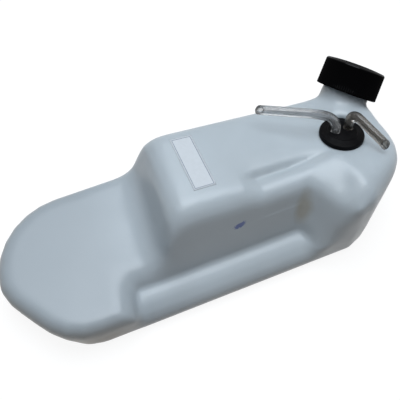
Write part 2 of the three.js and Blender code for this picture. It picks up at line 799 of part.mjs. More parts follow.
// The core: a stub in the weight, the felt's seat, an end flange and a nipple, with a bore and a cross hole.
function filterCore() {
  const core = filterCoreDiameter / 2;
  const stub = weightStubDiameter / 2;
  const body = revolve([
    [0, weightLength - weightStubLength],
    [stub, weightLength - weightStubLength],
    [stub, feltLow],
    [core, feltLow],
    [core, flangeLow],
    [filterDiameter / 2, flangeLow],
    [filterDiameter / 2, flangeHigh],
    [nippleDiameter / 2, flangeHigh],
    [nippleDiameter / 2, nippleEnd],
    [0, nippleEnd],
  ], smallSides);
  const middle = (feltLow + feltHigh) / 2;
  const bore = rod(filterBore / 2, middle, nippleEnd + overrun, hoseSides);
  const cross = rod(filterBore / 2, -filterDiameter, filterDiameter, hoseSides)
    .rotateX(Math.PI / 2)
    .translate(0, 0, middle);
  return geometryFrom(solidFrom(body).subtract(solidFrom(bore)).subtract(solidFrom(cross)));
}

function feltProfile() {
  const inner = filterCoreDiameter / 2 + gap;
  const outer = filterDiameter / 2;
  return [[inner, feltLow], [outer, feltLow], [outer, feltHigh], [inner, feltHigh], [inner, feltLow]];
}

function weightProfile() {
  const outer = weightDiameter / 2;
  const hole = weightStubDiameter / 2 + gap;
  const holeLow = weightLength - weightStubLength - gap;
  return [[0, 0], [outer, 0], [outer, weightLength], [hole, weightLength], [hole, holeLow], [0, holeLow]];
}

// The spring clip: an open band round the hose with two ears to pinch.
function clip() {
  const inner = hoseDiameter / 2 + gap;
  const outer = inner + clipThickness;
  const low = flangeHigh + clipPlace - clipWidth;
  const high = low + clipWidth;
  const band = revolve([[inner, low], [outer, low], [outer, high], [inner, high], [inner, low]], smallSides);
  const mouth = new THREE.BoxGeometry(clipMouth, outer, clipWidth + overrun)
    .translate(0, outer, (low + high) / 2);
  const ear = new THREE.BoxGeometry(clipThickness, clipEarLength, clipWidth)
    .translate(0, inner + clipEarLength / 2, (low + high) / 2);
  const side = (clipMouth + clipThickness) / 2;
  return geometryFrom(solidFrom(band)
    .subtract(solidFrom(mouth))
    .add(solidFrom(ear.clone().translate(-side, 0, 0)))
    .add(solidFrom(ear.clone().translate(side, 0, 0))));
}

// The sticker follows the roof at an even gap.
function sticker() {
  const size = [stickerWidth, stickerLength, stickerThickness];
  const sheet = new THREE.BoxGeometry(...size, stickerColumns, stickerRows, 1)
    .translate(stickerCentre.x, stickerCentre.y, stickerThickness / 2);
  const place = sheet.getAttribute('position');
  for (let i = 0; i < place.count; i += 1) {
    place.setZ(i, place.getZ(i) + topHeight(place.getX(i), place.getY(i)) + gap);
  }
  sheet.computeVertexNormals();
  return sheet;
}

const tank = new THREE.Group();
tank.name = 'fuel_tank';
tank.add(
  mesh('tank_body', tankBody(), shellFinish),
  mesh('roof_sticker', sticker(), paperFinish),
  mesh('supply_hose', freeHose(supplyPlace, supplyRoute), hoseFinish),
  mesh('return_hose', freeHose(returnPlace, returnRoute), hoseFinish),
  mesh('return_tail', returnTail(), hoseFinish),
  mesh('pickup_hose', pickupHose(), hoseFinish),
  neckFrame,
  grommetFrame,
  filterFrame,
);
neckFrame.add(
  mesh('filler_cap', revolve(capProfile(), capSides), capFinish),
  mesh('cap_gasket', revolve(gasketProfile(), plugSides), rubberFinish),
  mesh('vent_valve', ventValve(), rubberFinish),
);
grommetFrame.add(mesh('hose_grommet', grommet(), rubberFinish));
filterFrame.add(
  mesh('filter_core', filterCore(), coreFinish),
  mesh('filter_felt', revolve(feltProfile(), smallSides), feltFinish),
  mesh('filter_weight', revolve(weightProfile(), smallSides), metalFinish),
  mesh('hose_clip', clip(), metalFinish),
);

export default tank;
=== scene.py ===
# %% [markdown]
# This scene dresses a small engine's fuel tank: a blow-moulded shell with a screw cap, a rubber grommet, two
# clear hoses and a weighted filter inside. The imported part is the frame. Every piece sits where the part has
# it, in metres, with Z up, and keeps its size.

import json
import math

import bmesh
import bpy
from mathutils import Matrix, Vector
from mathutils.bvhtree import BVHTree


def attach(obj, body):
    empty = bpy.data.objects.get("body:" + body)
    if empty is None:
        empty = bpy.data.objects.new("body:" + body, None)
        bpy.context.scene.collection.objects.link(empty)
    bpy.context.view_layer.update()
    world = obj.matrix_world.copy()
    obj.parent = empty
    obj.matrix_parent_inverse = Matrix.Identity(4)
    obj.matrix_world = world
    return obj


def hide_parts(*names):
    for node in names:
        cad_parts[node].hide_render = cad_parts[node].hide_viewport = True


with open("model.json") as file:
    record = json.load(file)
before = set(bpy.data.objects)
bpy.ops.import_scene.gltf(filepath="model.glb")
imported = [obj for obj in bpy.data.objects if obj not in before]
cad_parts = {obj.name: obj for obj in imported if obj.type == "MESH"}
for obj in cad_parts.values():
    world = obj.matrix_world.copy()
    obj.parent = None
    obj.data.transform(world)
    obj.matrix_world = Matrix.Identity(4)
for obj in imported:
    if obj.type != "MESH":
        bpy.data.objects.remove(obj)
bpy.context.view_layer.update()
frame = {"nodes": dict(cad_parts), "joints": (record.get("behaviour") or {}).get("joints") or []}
mm = 0.001

# %% [markdown]
# A product photograph is taken with a long lens, so that near and far ends keep nearly the same scale. The
# camera looks down on the near side, with the low nose at the lower left and the cap at the upper right. Its
# place, its turn and its lens were found by laying the part's outline over the photograph's.

# %% Camera
camera_data = bpy.data.cameras.new("camera")
camera_data.sensor_width = 36
camera_data.lens = 60.03
camera = bpy.data.objects.new("camera", camera_data)
camera.location = (-79 * mm, -186 * mm, 395 * mm)
camera.rotation_euler = (math.radians(30), 0, math.radians(-22.5))
bpy.context.scene.collection.objects.link(camera)
bpy.context.scene.camera = camera

# %% [markdown]
# A clear fuel hose is a thick-walled tube, and its wall and its bore are what make it look like a hose: the
# light bends in the wall and leaves dark edges and a bright middle. Here a smooth curve runs through the
# route's points, a round bevel gives it a skin, and Solidify gives that skin a wall and open ends. A knife
# cut is one plane through the skin, which clears what lies beyond it.

# %% A hose along a route
hose_diameter = 6 * mm
hose_bore = 3 * mm


def show(name, data):
    piece = bpy.data.objects.new(name, data)
    bpy.context.scene.collection.objects.link(piece)
    return piece


def finished_mesh(piece):
    """The piece's mesh with its modifiers applied. The piece itself is removed."""
    bpy.context.view_layer.update()
    shown = piece.evaluated_get(bpy.context.evaluated_depsgraph_get())
    mesh = bpy.data.meshes.new_from_object(shown)
    bpy.data.objects.remove(piece)
    return mesh


def curve_piece(name, route, radius):
    curve = bpy.data.curves.new(name, "CURVE")
    curve.dimensions = "3D"
    curve.resolution_u = 8
    curve.bevel_depth = radius
    curve.bevel_resolution = 14
    spline = curve.splines.new("BEZIER")
    spline.bezier_points.add(len(route) - 1)
    for knot, place in zip(spline.bezier_points, route):
        knot.co = place
        knot.handle_left_type = "AUTO"
        knot.handle_right_type = "AUTO"
    return show(name, curve)


def centreline(route):
    """The points that a hose's rings stand on."""
    mesh = finished_mesh(curve_piece("centreline", route, 0))
    return [vertex.co.copy() for vertex in mesh.vertices]


def hose(name, route, cut_towards=None):
    """A walled tube along the route. Its far end is cut square, or at a slant to face a given way."""
    tube = show(name, finished_mesh(curve_piece("tube", route, hose_diameter / 2)))
    if cut_towards:
        work = bmesh.new()
        work.from_mesh(tube.data)
        leaving = (Vector(route[-1]) - Vector(route[-2])).normalized()
        facing = (leaving + Vector(cut_towards)).normalized()
        lean = math.tan(leaving.angle(facing))
        high_edge = Vector(route[-1]) - leaving * lean * hose_diameter / 2
        bmesh.ops.bisect_plane(
            work, geom=work.verts[:] + work.edges[:] + work.faces[:], dist=0.0001 * mm,
            plane_co=high_edge, plane_no=facing, clear_outer=True,
        )
        work.to_mesh(tube.data)
        work.free()
    wall = tube.modifiers.new("wall", "SOLIDIFY")
    wall.thickness = (hose_diameter - hose_bore) / 2
    wall.offset = -1
    rim = tube.modifiers.new("rim", "BEVEL")
    rim.limit_method = "ANGLE"
    rim.angle_limit = math.radians(50)
    rim.width = 0.2 * mm
    rim.segments = 2
    tube.data.shade_smooth()
    return tube


# %% [markdown]
# The two hoses outside are free at one end. Each starts straight out of the grommet and then takes the bend
# that it has in the photograph: the long one lies over towards the nose, and the short one turns sharply
# back over the tail. The photograph shows both from end to end, so their lengths are read from it. They were
# cut with a knife, so their ends are slanted and show their bore from above.

# %% The two free hoses
joints = {joint["name"]: joint for joint in frame["joints"]}
swing = joints["pickup_swing"]
hole_axis = Vector(swing["axis"]).normalized()
start_in_hole = 1.2 * mm
cut_slant = (-0.2, -0.35, 0.7)
supply_exit = Vector((92.714, 8.218, 57.263)) * mm
return_exit = Vector((101.832, 8.102, 56.045)) * mm
supply_points = [
    (92.978, 8.596, 59.209), (92.9, 10.1, 61.4), (92, 12, 63.4), (90.2, 13.6, 65), (87.6, 15, 66.2),
    (84.6, 16.5, 67), (81.2, 18.1, 67.5), (77.6, 20, 67.7), (73.9, 21.9, 67.7), (70.1, 24, 67.6),
    (66.3, 26.1, 67.4), (62.5, 28.3, 67.3), (58.8, 30.5, 67), (55.1, 32.7, 66.7), (52.2, 34.4, 66.4),
    (49.6, 36, 66.2),
]
return_points = [
    (102.097, 8.479, 57.991), (102.4, 9.2, 59.8), (103.1, 9.9, 61.4), (104.1, 10.2, 62.6),
    (105.2, 9.7, 63.5), (106.2, 8.3, 64), (106.9, 6.2, 64.3), (107.5, 3.8, 64.3), (108.1, 1.3, 64.2),
    (108.8, -1.3, 64), (109.6, -3.9, 63.6), (110.5, -6.5, 63.2), (111.4, -9.2, 62.8), (112.3, -12, 62.3),
    (113.2, -14.8, 61.7), (114.1, -17.6, 61.1),
]


def free_hose(name, exit_point, points, node):
    route = [exit_point - start_in_hole * hole_axis] + [Vector(point) * mm for point in points]
    piece = hose(name, route, cut_slant)
    path = centreline(route)
    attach(piece, "shell")
    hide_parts(node)
    print(name, "is", round(sum((b - a).length for a, b in zip(path, path[1:])) / mm, 1), "mm long")
    return piece


long_hose = free_hose("long_hose", supply_exit, supply_points, "supply_hose")
short_hose = free_hose("short_hose", return_exit, return_points, "return_hose")

# %% [markdown]
# The pick-up hose goes down through the grommet and bends along the floor to the filter. It turns with the
# filter about the grommet's hole, which the frame's joint gives, so its route starts on that joint's axis.
# The return hose ends a little way below the grommet.

# %% The hoses inside
hole_top = Vector(swing["pos_m"])
drop = 15 * mm
bend = 17 * mm
filter_nose = Vector((46, 17, 9.8)) * mm
turn_point = hole_top - drop * hole_axis
filter_axis = ((turn_point - filter_nose) * Vector((1, 1, 0))).normalized()
hose_end = 27.5 * mm
nipple_end = 35.2 * mm
below_free_end = 2.2 * mm
return_drop = 20.7 * mm


def bezier(start, leaving, arriving, end, count):
    points = []
    for step in range(count + 1):
        t = step / count
        points.append(
            start * (1 - t) ** 3
            + leaving * 3 * t * (1 - t) ** 2
            + arriving * 3 * t ** 2 * (1 - t)
            + end * t ** 3
        )
    return points


on_nipple = filter_nose + nipple_end * filter_axis
pickup_route = [hole_top - below_free_end * hole_axis]
pickup_route += bezier(
    turn_point, turn_point - bend * hole_axis, on_nipple + bend * filter_axis, on_nipple, 10
)
pickup_route.append(filter_nose + hose_end * filter_axis)
pickup = hose("pickup_tube", pickup_route)
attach(pickup, "pickup")
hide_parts("pickup_hose")

tail_low = return_exit - return_drop * hole_axis
return_inside = hose("return_tube", [return_exit - below_free_end * hole_axis, tail_low])
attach(return_inside, "shell")
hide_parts("return_tail")

# %% [markdown]
# The shell is one skin with no seams, so its flowing corners matter more than any detail. The part's solid
# has the right form in flat faces. A voxel remesh lays an even grid over a copy of it, and smoothing then
# takes the faces out. Plain smoothing shrinks a shape, so each pass that pulls the points together is
# followed by one that pushes them apart again. The neck's mouth and the grommet's hole stay crisp, because
# a vertex group keeps them out of the smoothing.

# %% Frames of the neck and the grommet
turn = joints["cap_turn"]
neck_rim = Vector(turn["pos_m"])
neck_axis = Vector(turn["axis"]).normalized()


def frame_at(place, axis):
    return Matrix.Translation(place) @ axis.to_track_quat("Z", "Y").to_matrix().to_4x4()


neck_frame = frame_at(neck_rim, neck_axis)
grommet_centre = Vector((96.6, 6, 51.821)) * mm
grommet_frame = frame_at(grommet_centre, hole_axis)

# %% The shell's skin
voxel = 1.3 * mm
kept_round_mouth = 17 * mm
kept_below_rim = 1.5 * mm
kept_round_hole = 13 * mm
kept_deep_in_hole = 5 * mm
pull, push = 0.5, -0.52
rounds = 36


def merged_copy(node):
    work = bmesh.new()
    work.from_mesh(frame["nodes"][node].data)
    bmesh.ops.remove_doubles(work, verts=work.verts, dist=0.001 * mm)
    mesh = bpy.data.meshes.new(node + "_copy")
    work.to_mesh(mesh)
    work.free()
    return mesh


to_neck = neck_frame.inverted()
to_grommet = grommet_frame.inverted()


def is_kept(place):
    """True at the neck's mouth and at the grommet's hole, which smoothing would spoil."""
    in_neck = to_neck @ place
    in_grommet = to_grommet @ place
    at_mouth = in_neck.z > -kept_below_rim and in_neck.xy.length < kept_round_mouth
    at_hole = abs(in_grommet.z) < kept_deep_in_hole and in_grommet.xy.length < kept_round_hole
    return at_mouth or at_hole


skin = show("skin", merged_copy("tank_body"))
grid = skin.modifiers.new("grid", "REMESH")
grid.mode = "VOXEL"
grid.voxel_size = voxel
skin = show("tank_skin", finished_mesh(skin))
group = skin.vertex_groups.new(name="smooth")
group.add([vertex.index for vertex in skin.data.vertices if not is_kept(vertex.co)], 1, "REPLACE")
for factor, repeat in [(pull, 5), (push, 5)] * rounds + [(pull, 6)]:
    evening = skin.modifiers.new("evening", "SMOOTH")
    evening.factor = factor
    evening.iterations = repeat
    evening.vertex_group = "smooth"
skin = show("tank_skin", finished_mesh(skin))
print("evened skin:", len(skin.data.vertices), "points")

# %% [markdown]
# A few places are treated one by one after that. The shoulder over the recess has a shallow dent, which is
# pressed in along a line. Then the places where the moulding is softer than elsewhere are evened once more:
# the shoulder, the recess's ends, the foot of the rise, the tail's roof and, half as much, the nose's foot
# all round. The groove on the roof is deepest at its nose end. It is pressed in last, so it stays crisp.

# %% Soft places and creases
# Centre and reach in millimetres, and strength.
soft_places = [
    ((108, -20, 52), 26, 1), ((84, -20, 58), 26, 1), ((70, -35, 34), 22, 1), ((-60, -24, 30), 12, 0.6),
    ((-34, 16, 33), 17, 1), ((-36, -6, 33), 17, 1), ((-39, -22, 33), 14, 1),
    *[((x, -4, 58), 13, 1) for x in (24, 34, 44, 54, 64)],
]
nose_middle = Vector((-83, 0, 9))
nose_reach = 45
for degrees in range(75, 286, 15):
    outwards = Vector((math.cos(math.radians(degrees)), math.sin(math.radians(degrees)), 0))
    soft_places.append((nose_middle + nose_reach * outwards, 17, 0.4))

# A crease's sides are its widths to the left and the right of its run, in millimetres like the rest.
dent = {"start": (88, -6), "end": (75, -38), "depth": 2.2, "sides": (6.5, 6.5), "rise": 0.3, "fall": 0.3}
groove = {"start": (22, -4.8), "end": (86, -3), "depth": 3.8, "sides": (3.0, 13), "rise": 0.16, "fall": 0.5}
pressed_above = 42 * mm


def softness(place):
    """How soft the moulding is here: full in the middle of a soft place, falling to 0 at its edge."""
    most = 0.0
    for centre, reach, strength in soft_places:
        away = (place - Vector(centre) * mm).length / (reach * mm)
        most = max(most, strength * (1 - away ** 2))
    return 0.0 if is_kept(place) else most


def press(piece, crease):
    """Presses a crease into both faces of the roof's wall. It fades out at its ends."""
    start = Vector(crease["start"]) * mm
    along = Vector(crease["end"]) * mm - start
    vertices = piece.data.vertices
    for vertex in [point for point in vertices if point.co.z > pressed_above]:
        away = vertex.co.xy - start
        run = away.dot(along) / along.length_squared
        off = away.cross(along.normalized()) / mm
        off /= crease["sides"][off > 0]
        share = max(0, min(1, run / crease["rise"], (1 - run) / crease["fall"]))
        vertex.co.z -= crease["depth"] * mm * share * math.exp(-off ** 2)


press(skin, dent)
group = skin.vertex_groups.new(name="soft")
for vertex in skin.data.vertices:
    weight = softness(vertex.co)
    if weight > 0:
        group.add([vertex.index], weight, "REPLACE")
melting = skin.modifiers.new("melting", "SMOOTH")
melting.factor = pull
melting.iterations = 80
melting.vertex_group = "soft"
tank_skin = show("tank_shell", finished_mesh(skin))
press(tank_skin, groove)
tank_skin.data.shade_smooth()
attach(tank_skin, "shell")
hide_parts("tank_body")
print("tank_shell:", len(tank_skin.data.polygons), "faces")

# %% [markdown]
# Round parts are turned: an outline beside an axis is spun once round it. A screw thread is the same
# operator with a step along the axis on each turn, so a small ridge section climbs round the neck.

# %% Turning and threads
neck_thread_radius = 14.5 * mm
neck_bore_radius = 12.5 * mm
neck_height = 14 * mm
thread_pitch = 4 * mm


def spun(outline, steps, turns=1.0, climb=0.0, closed=False):
    """A bmesh of the outline, (radius, height) pairs, spun about Z, with a climb in all."""
    work = bmesh.new()
    verts = [work.verts.new((radius, 0, height)) for radius, height in outline]
    pairs = list(zip(verts, verts[1:])) + ([(verts[-1], verts[0])] if closed else [])
    edges = [work.edges.new(pair) for pair in pairs]
    full = turns == 1.0 and climb == 0.0
    bmesh.ops.spin(
        work, geom=verts + edges, cent=(0, 0, 0), axis=(0, 0, 1), dvec=(0, 0, climb / steps),
        angle=2 * math.pi * turns, steps=steps, use_merge=full, use_duplicate=False,
    )
    if full:
        bmesh.ops.remove_doubles(work, verts=work.verts, dist=0.001 * mm)
    return work


def turned_piece(name, work, place):
    """A shown piece from a bmesh in its own frame. Its place goes into its mesh."""
    bmesh.ops.recalc_face_normals(work, faces=work.faces)
    work.transform(place)
    mesh = bpy.data.meshes.new(name)
    work.to_mesh(mesh)
    work.free()
    mesh.shade_smooth()
    return show(name, mesh)


def arc(radius, height, size, first, last, count=6):
    """Outline points along an arc about (radius, height), with its turns in degrees."""
    turns = [math.radians(first + (last - first) * step / count) for step in range(count + 1)]
    return [(radius + size * math.cos(t), height + size * math.sin(t)) for t in turns]


# %% [markdown]
# The neck's mouth is cut square after moulding, and its thread is a low round ridge. A turned sleeve gives
# the mouth its clean edge, and one ridge of nearly two turns gives the thread. It shows when the cap comes
# off.

# %% The neck's mouth and thread
sleeve_skin = 0.1 * mm
thread_turns = 1.75
mouth = turned_piece("neck_mouth", spun([
    (neck_bore_radius - sleeve_skin, -2 * mm),
    (neck_thread_radius + sleeve_skin, -2 * mm),
    *arc(neck_thread_radius + sleeve_skin - 0.5 * mm, neck_height - 0.3 * mm, 0.5 * mm, 0, 90),
    *arc(neck_bore_radius + 0.2 * mm, neck_height - 0.1 * mm, 0.3 * mm, 90, 180),
], 96, closed=True), neck_frame)
ridge_outline = [
    (neck_thread_radius - 0.3 * mm, 2.1 * mm),
    *arc(neck_thread_radius + 0.1 * mm, 3.1 * mm, 0.6 * mm, -90, 90),
    (neck_thread_radius - 0.3 * mm, 4.1 * mm),
]
ridge = spun(ridge_outline, 128, turns=thread_turns, climb=thread_turns * thread_pitch, closed=True)
bmesh.ops.holes_fill(ridge, edges=[edge for edge in ridge.edges if edge.is_boundary])
thread = turned_piece("neck_thread", ridge, neck_frame)
for piece in (mouth, thread):
    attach(piece, "shell")

# %% [markdown]
# The cap is a glossy moulding with a crowned top and fine grip ribs round its side. It is turned from the
# part's own outline, and then the points of its side are drawn in and out round the axis to make the ribs.

# %% The cap
cap_radius = 20.4 * mm
cap_draft = 0.3 * mm
cap_height = 19.2 * mm
cap_crown = 1 * mm
cap_bore_radius = 15.7 * mm
cap_inside = 15.8 * mm
vent_hole_radius = 2.3 * mm
rib_count = 90
rib_depth = 0.3 * mm
side_low = 1.4 * mm
side_high = cap_height - 3.4 * mm

cap_outline = [(cap_bore_radius, 0.5 * mm), (cap_bore_radius + 0.5 * mm, 0)]
cap_outline += arc(cap_radius - 0.5 * mm, 0.5 * mm, 0.5 * mm, -90, 0, 3)
cap_outline += [(cap_radius, side_low - 0.2 * mm), (cap_radius, side_low)]
cap_outline += [(cap_radius - cap_draft, side_high), (cap_radius - cap_draft, side_high + 0.2 * mm)]
cap_outline += arc(
    cap_radius - cap_draft - 1.6 * mm, cap_height - cap_crown - 1.6 * mm, 1.6 * mm, 0, 86, 6
)
cap_outline += [(13 * mm, cap_height - 0.42 * mm), (7 * mm, cap_height - 0.08 * mm)]
cap_outline += [(vent_hole_radius, cap_height), (vent_hole_radius, cap_inside)]
cap_outline += [(cap_bore_radius, cap_inside)]
cap_work = spun(cap_outline, rib_count * 4, closed=True)
for vert in cap_work.verts:
    on_side = vert.co.xy.length > cap_radius - 2 * cap_draft
    if on_side and side_low - 0.1 * mm < vert.co.z < side_high + 0.1 * mm:
        around = math.atan2(vert.co.y, vert.co.x)
        inward = rib_depth * (0.5 - 0.5 * math.cos(rib_count * around))
        vert.co.xy *= 1 - inward / cap_radius
cap = turned_piece("screw_cap", cap_work, neck_frame)
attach(cap, "cap")
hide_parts("filler_cap")

# %% [markdown]
# The grommet is soft black rubber with a rolled rim, a low dome and a raised boss that grips the hoses. It
# is turned from its outline, and two round cutters take out the hose holes.

# %% The grommet
grommet_outline = [
    (0, -6.5 * mm), (9.7 * mm, -6.5 * mm), (11.75 * mm, -4.5 * mm), (11.75 * mm, -2.5 * mm),
    (9.7 * mm, -2.5 * mm), (9.7 * mm, 0.3 * mm),
    *arc(13.7 * mm, 0.8 * mm, 0.5 * mm, -90, 0, 3),
    *arc(13.2 * mm, 2.5 * mm, 1 * mm, 0, 90),
    (11.6 * mm, 3.9 * mm), (10.1 * mm, 4.15 * mm), (9.6 * mm, 4.35 * mm),
    *arc(8.9 * mm, 4.4 * mm, 0.5 * mm, 0, 90, 4),
    (0, 4.9 * mm),
]
hole_radius = 3.1 * mm
grommet = turned_piece("grommet_rubber", spun(grommet_outline, 120), grommet_frame)
for exit_point in (supply_exit, return_exit):
    cutter_work = bmesh.new()
    bmesh.ops.create_cone(
        cutter_work, cap_ends=True, segments=48, radius1=hole_radius, radius2=hole_radius,
        depth=40 * mm, matrix=frame_at(exit_point - 5 * mm * hole_axis, hole_axis),
    )
    cutter_mesh = bpy.data.meshes.new("cutter")
    cutter_work.to_mesh(cutter_mesh)
    cutter_work.free()
    cutter = show("cutter", cutter_mesh)
    cut = grommet.modifiers.new("cut", "BOOLEAN")
    cut.operation = "DIFFERENCE"
    cut.object = cutter
    grommet = show("grommet_rubber", finished_mesh(grommet))
    bpy.data.objects.remove(cutter)
grommet.data.shade_smooth()
grommet.data.set_sharp_from_angle(angle=math.radians(40))
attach(grommet, "shell")
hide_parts("hose_grommet")

# %% [markdown]
# The sticker is a strip of paper that lies on the roof and bends with it. A grid in its outline is dropped
# straight down onto the skin, and Solidify makes it a sheet. Its own map carries the thin printed border.

# %% The sticker
label_length = 40 * mm
label_width = 14 * mm
label_centre = Vector((0.4, 17.5, 0)) * mm
label_lift = 0.25 * mm
well_above = Vector((0, 0, 0.2))
shell_tree = BVHTree.FromObject(tank_skin, bpy.context.evaluated_depsgraph_get())
label_work = bmesh.new()
bmesh.ops.create_grid(
    label_work, x_segments=10, y_segments=28, size=0.5, calc_uvs=True,
    matrix=Matrix.Diagonal((label_width, label_length, 1, 1)),
)
label_map = label_work.loops.layers.uv.verify()
for face in label_work.faces:
    for loop in face.loops:
        place = loop.vert.co
        loop[label_map].uv = (place.x / label_width + 0.5, place.y / label_length + 0.5)
for vert in label_work.verts:
    hit = shell_tree.ray_cast(vert.co + label_centre + well_above, Vector((0, 0, -1)))[0]
    vert.co = hit + Vector((0, 0, label_lift))
label_mesh = bpy.data.meshes.new("label")
label_work.to_mesh(label_mesh)
label_work.free()
label_mesh.shade_smooth()
label = show("paper_label", label_mesh)
sheet = label.modifiers.new("sheet", "SOLIDIFY")
sheet.thickness = 0.15 * mm
sheet.offset = -1
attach(label, "shell")
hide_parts("roof_sticker")

# %% [markdown]
# The filter's sleeve is thick wool felt, soft at its rims. It is turned as a ring with rounded edges, and
# its finish roughens it. The core, the weight and the clip are hard pieces and stay as the part has them.

# %% The felt sleeve
filter_frame = frame_at(filter_nose, filter_axis)
felt_low = 5.3 * mm
felt_high = 25.3 * mm
felt_radius = 7 * mm
felt_inner = 4.3 * mm
felt_work = spun([
    (felt_inner, felt_low), *arc(felt_radius - 1 * mm, felt_low + 1 * mm, 1 * mm, -90, 0, 4),
    *[(felt_radius, felt_low + (1 + 18 * step / 16) * mm) for step in range(1, 16)],
    *arc(felt_radius - 1 * mm, felt_high - 1 * mm, 1 * mm, 0, 90, 4), (felt_inner, felt_high),
], 64, closed=True)
felt = turned_piece("felt_sleeve", felt_work, filter_frame)
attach(felt, "pickup")
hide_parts("filter_felt")

# %% [markdown]
# Finishes are built from shader nodes. One small class stands for a socket, so that shader maths reads as
# plain sums, and one method adds every other node.

# %% Writing finishes


class Value:
    """A number or a colour that changes over a surface."""

    def __init__(self, finish, socket):
        self.finish = finish
        self.socket = socket

    def sum_with(self, operation, first, second):
        return self.finish.add("Math", {"operation": operation}, {0: first, 1: second})

    def __add__(self, other):
        return self.sum_with("ADD", self, other)

    def __radd__(self, other):
        return self.sum_with("ADD", other, self)

    def __sub__(self, other):
        return self.sum_with("SUBTRACT", self, other)

    def __rsub__(self, other):
        return self.sum_with("SUBTRACT", other, self)

    def __mul__(self, other):
        return self.sum_with("MULTIPLY", self, other)

    def __rmul__(self, other):
        return self.sum_with("MULTIPLY", other, self)


class Finish:
    """A material with one Principled shader. Its even values are set on the shader's own sockets."""

    def __init__(self, name, **even):
        self.material = bpy.data.materials.new(name)
        self.material.use_nodes = True
        self.tree = self.material.node_tree
        self.shader = self.tree.nodes["Principled BSDF"]
        for socket, value in even.items():
            self.shader.inputs[socket.replace("_", " ")].default_value = value

    def add(self, kind, settings, sockets, output=0):
        node = self.tree.nodes.new("ShaderNode" + kind)
        for setting, value in settings.items():
            if setting == "stops":
                for stop, (at, shade) in zip(node.color_ramp.elements, value):
                    stop.position = at
                    stop.color = shade
            else:
                setattr(node, setting, value)
        for socket, value in sockets.items():
            self.join(node.inputs[socket], value)
        return Value(self, node.outputs[output])

    def join(self, socket, value):
        if isinstance(value, Value):
            self.tree.links.new(value.socket, socket)
        else:
            socket.default_value = value

    def vary(self, socket, value):
        self.join(self.shader.inputs[socket], value)

    def place(self):
        return self.add("TexCoord", {}, {}, "Object")

    def noise(self, scale, detail=2.0, roughness=0.5):
        sockets = {"Vector": self.place(), "Scale": scale, "Detail": detail, "Roughness": roughness}
        return self.add("TexNoise", {}, sockets, 0)

    def ramp(self, value, low, high):
        """0 up to low and 1 from high."""
        settings = {"stops": [(low, (0, 0, 0, 1)), (high, (1, 1, 1, 1))]}
        return self.add("ValToRGB", settings, {"Fac": value})

    def blend(self, share, first, second):
        settings = {"data_type": "RGBA"}
        return self.add("Mix", settings, {0: share, 6: first, 7: second}, 2)

    def bump(self, height, strength, distance):
        sockets = {"Height": height, "Strength": strength, "Distance": distance}
        self.vary("Normal", self.add("Bump", {}, sockets))


def cover(finish, *pieces):
    for piece in pieces:
        piece.data.materials.clear()
        piece.data.materials.append(finish.material)


# %% [markdown]
# Natural polyethylene is a pale, faintly blue, waxy plastic. It lets a little light in, so its shadows stay
# soft, and its skin keeps the fine grain of the mould and some cloudiness from uneven walls. Painted shade
# darkens the nose end, and more painted shade, in dark brown, lies low on the nose's foot. A brown painted
# shade sits in the recess's concave corner at its tail end, and a small dab of blue ink from the works on its
# back wall. The shell's own coordinates place them all.

# %% The shell's finish
shell_finish = Finish(
    "natural_polyethylene", IOR=1.5, Subsurface_Weight=0.15, Subsurface_Scale=0.004,
    Subsurface_Radius=(0.9, 1, 1.1),
)
pale = (0.45, 0.5, 0.53, 1)
clouded = (0.42, 0.465, 0.49, 1)
clouds = shell_finish.ramp(shell_finish.noise(22, 3), 0.35, 0.7)
even_colour = shell_finish.blend(clouds, pale, clouded)
shell_axes = shell_finish.tree.nodes.new("ShaderNodeSeparateXYZ")
shell_finish.join(shell_axes.inputs[0], shell_finish.place())
from_nose, up = Value(shell_finish, shell_axes.outputs[0]), Value(shell_finish, shell_axes.outputs[2])
# Painted shade: the colour darkens towards the nose end, where less light falls.
painted_nose_shade = shell_finish.ramp(from_nose * -14 - 0.2, 0, 0.75)
nose_shaded_colour = shell_finish.blend(0.9 * painted_nose_shade, even_colour, (0.345, 0.388, 0.418, 1))
# Painted shade: round the nose end, the colour turns dark brown towards the bottom.
under_nose = shell_finish.ramp(from_nose * -50 - 2.85, 0, 1)
painted_foot_shade = shell_finish.ramp((0.03 - up) * 60, 0, 1) * under_nose
foot_shaded_colour = shell_finish.blend(0.9 * painted_foot_shade, nose_shaded_colour, (0.25, 0.225, 0.18, 1))
# Painted shade: a brown patch in the concave corner at the recess's tail end.
corner_shade_place = shell_finish.add(
    "Mapping", {"vector_type": "TEXTURE"},
    {"Vector": shell_finish.place(), "Location": (56 * mm, -24 * mm, 38 * mm),
     "Rotation": (0, math.radians(12), 0), "Scale": (5.5 * mm, 9 * mm, 15 * mm)},
)
corner_shade_distance = shell_finish.add("VectorMath", {"operation": "LENGTH"}, {0: corner_shade_place}, 1)
painted_corner_shade = shell_finish.ramp(1.15 - corner_shade_distance + 0.5 * shell_finish.noise(120, 3), 0.25, 1)
shell_colour = shell_finish.blend(0.7 * painted_corner_shade, foot_shaded_colour, (0.33, 0.31, 0.25, 1))
dab_centre = (14.1 * mm, -24.6 * mm, 42.8 * mm)
dab_place = shell_finish.add(
    "Mapping", {"vector_type": "TEXTURE"},
    {"Vector": shell_finish.place(), "Location": dab_centre, "Rotation": (0, math.radians(-14), 0),
     "Scale": (4.6 * mm, 8 * mm, 2.2 * mm)},
)
dab_distance = shell_finish.add("VectorMath", {"operation": "LENGTH"}, {0: dab_place}, 1)
smear = shell_finish.noise(900, 2)
dab = shell_finish.ramp(0.5 * (dab_distance + smear), 0.6, 0.75)
shell_finish.vary("Base Color", shell_finish.blend(dab, (0.1, 0.14, 0.34, 1), shell_colour))
shell_finish.vary("Roughness", 0.3 + 0.1 * shell_finish.noise(60, 2))
shell_finish.bump(shell_finish.noise(1800, 2), 0.12, 0.0002)
cover(shell_finish, tank_skin, mouth, thread)

# %% [markdown]
# The cap's black is glossy and a little scuffed, so its roughness varies, and its rim is polished by hands.
# The rubber is duller, with a fine pitted skin and a trace of pale dust.

